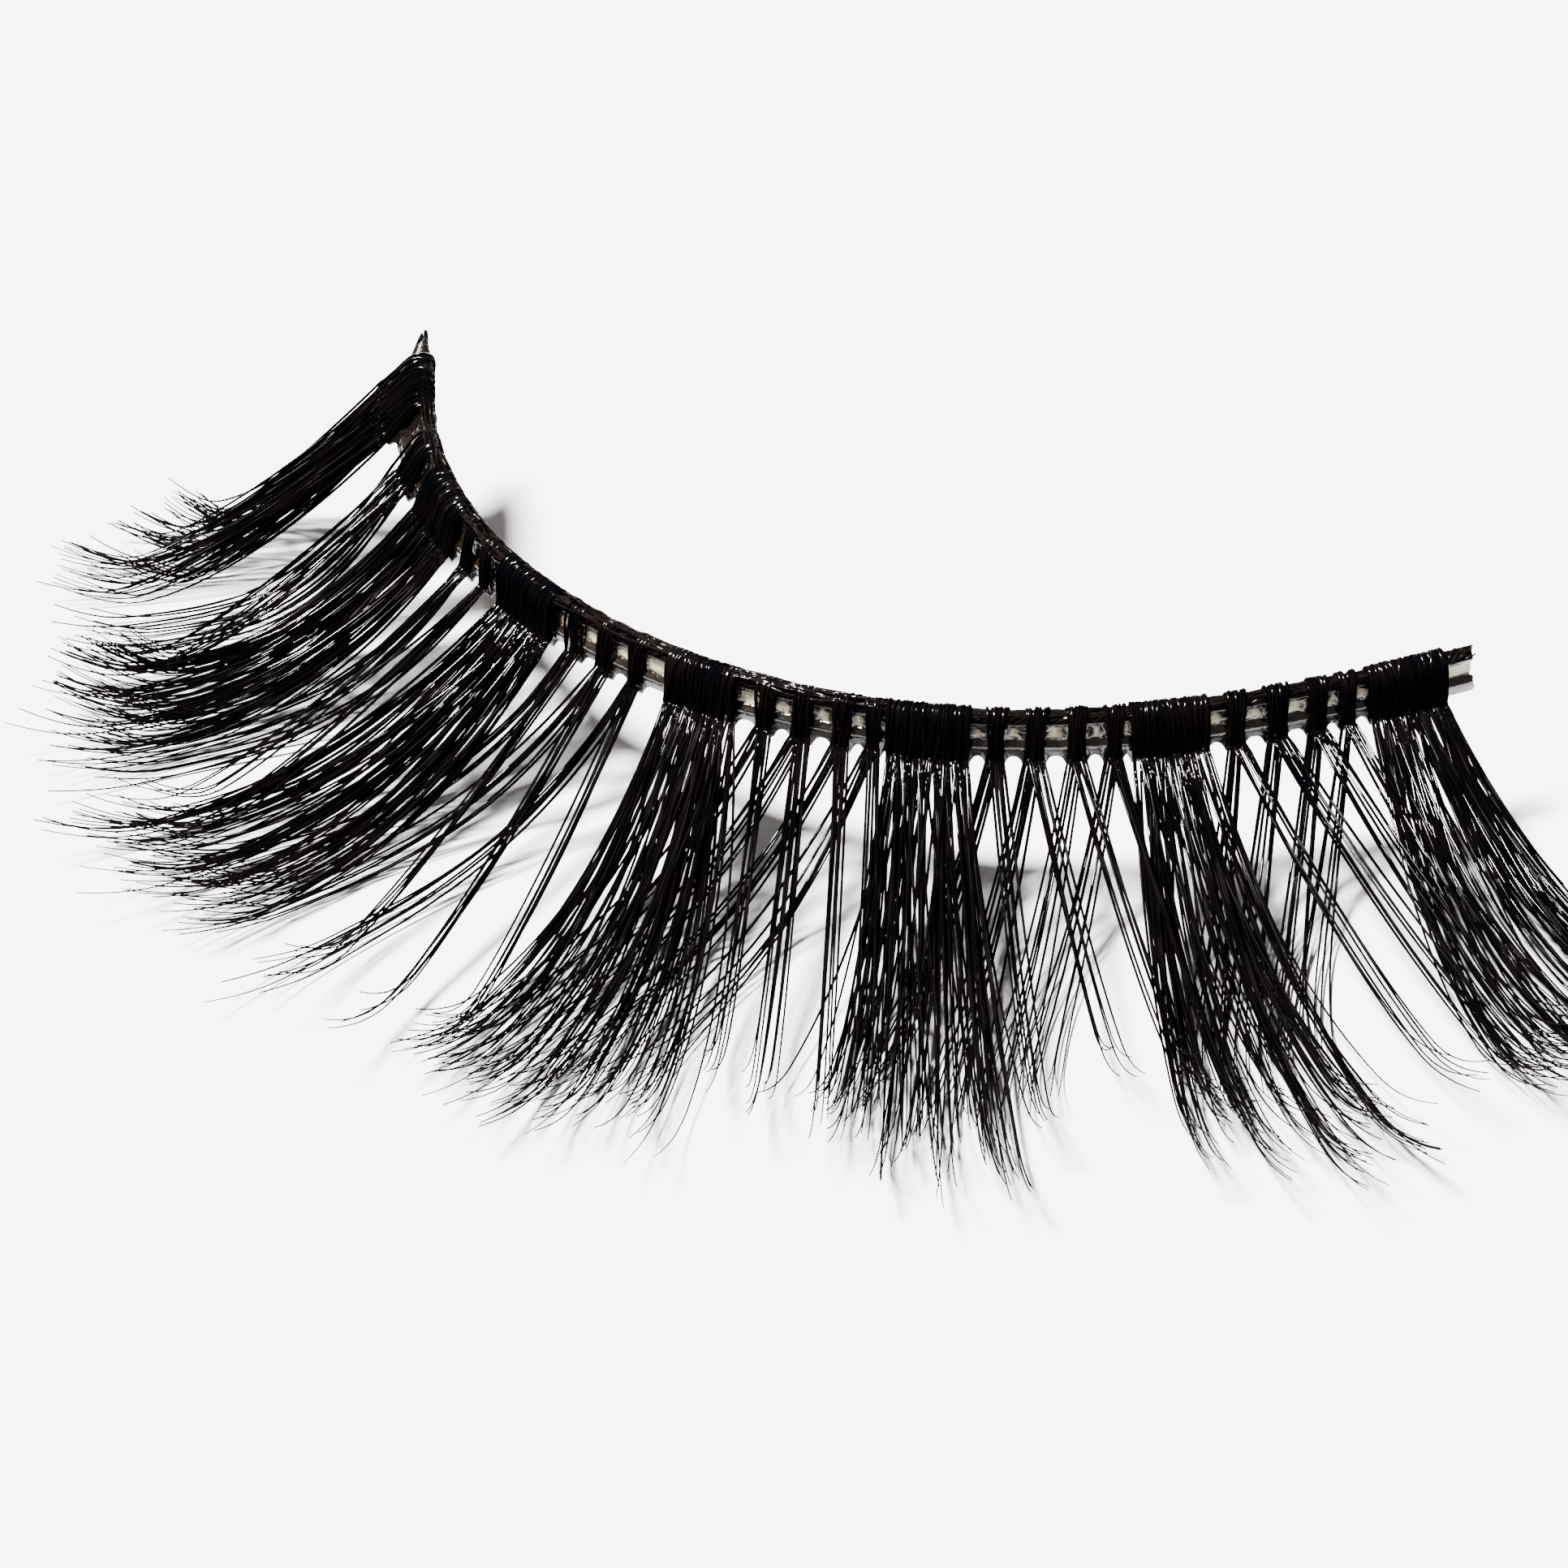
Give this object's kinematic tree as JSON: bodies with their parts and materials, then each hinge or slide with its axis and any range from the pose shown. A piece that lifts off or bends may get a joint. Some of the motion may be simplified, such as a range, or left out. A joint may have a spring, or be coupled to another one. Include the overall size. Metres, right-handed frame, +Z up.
{
  "type": "false eyelash strip",
  "caption": "Curved strip of false eyelashes: dense fans and sparse bunches of black fibre knotted on a thin glued thread band, standing on the bellies of its lashes.",
  "frame": {"origin": "on the surface it stands on, under the middle of the whole strip's box", "axes": "+Z up; the band is open towards +Y and its lashes fan out towards -Y; +X to the inner corner's end"},
  "size_m": [0.0382, 0.03, 0.0047],
  "materials": {
    "fibre": "glossy black synthetic fibre, tapered to fine points",
    "thread": "dark brown-black glue-soaked thread",
    "glue": "clear dried glue, slightly amber, glossy"
  },
  "bodies": {
    "root": {"upper_thread": "thread", "lower_thread": "thread", "glue_film": "glue", "dense_cluster_1": "fibre", "dense_cluster_2": "fibre", "dense_cluster_3": "fibre", "dense_cluster_4": "fibre", "dense_cluster_5": "fibre", "dense_cluster_6": "fibre", "dense_cluster_7": "fibre", "small_bunch_01": "fibre", "small_bunch_02": "fibre", "small_bunch_03": "fibre", "small_bunch_04": "fibre", "small_bunch_05": "fibre", "small_bunch_06": "fibre", "small_bunch_07": "fibre", "small_bunch_08": "fibre", "small_bunch_09": "fibre", "small_bunch_10": "fibre", "small_bunch_11": "fibre", "small_bunch_12": "fibre", "small_bunch_13": "fibre", "small_bunch_14": "fibre", "small_bunch_15": "fibre", "small_bunch_16": "fibre", "small_bunch_17": "fibre", "small_bunch_18": "fibre"}
  },
  "joints": []
}
